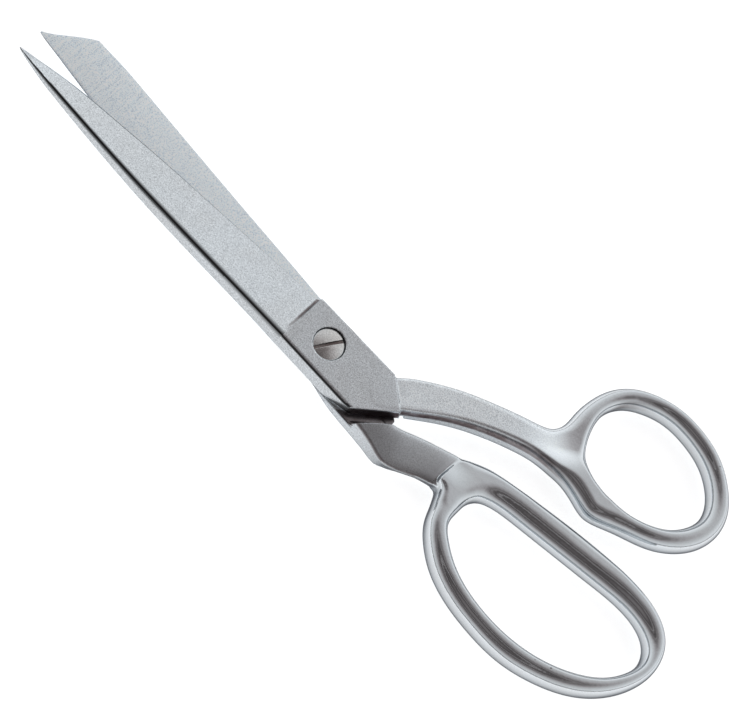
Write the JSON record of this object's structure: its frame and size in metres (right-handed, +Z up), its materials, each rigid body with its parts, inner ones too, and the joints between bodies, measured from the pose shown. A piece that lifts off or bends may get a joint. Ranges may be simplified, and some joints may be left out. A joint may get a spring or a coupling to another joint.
{
  "type": "bent-handle fabric shears",
  "caption": "Forged steel bent-handle fabric shears with a pointed upper blade, a blunt lower blade, a small thumb bow, a long finger bow and a slotted pivot screw.",
  "frame": {"origin": "on the pivot axis, at the flat resting underside of the lower forging", "axes": "+X towards the blade tips, +Y towards the far limb of the finger bow, +Z up from the table through the pivot, out of the slotted screw head"},
  "size_m": [0.2058, 0.0783, 0.008],
  "materials": {
    "forged_steel_upper": "satin-ground blade and block, polished handle",
    "forged_steel_lower": "ground blade, polished handle",
    "screw_steel": "polished, slotted",
    "nut_steel": "turned"
  },
  "bodies": {
    "lower": {"lower_blade": "forged_steel_lower", "pivot_screw": "screw_steel", "pivot_nut": "nut_steel"},
    "upper": {"upper_blade": "forged_steel_upper"}
  },
  "joints": [
    {"name": "pivot", "type": "hinge", "parent": "lower", "child": "upper", "pos_m": [0, 0, 0.004], "axis": [0, 0, 1], "range_deg": [-3.7, 120]}
  ]
}
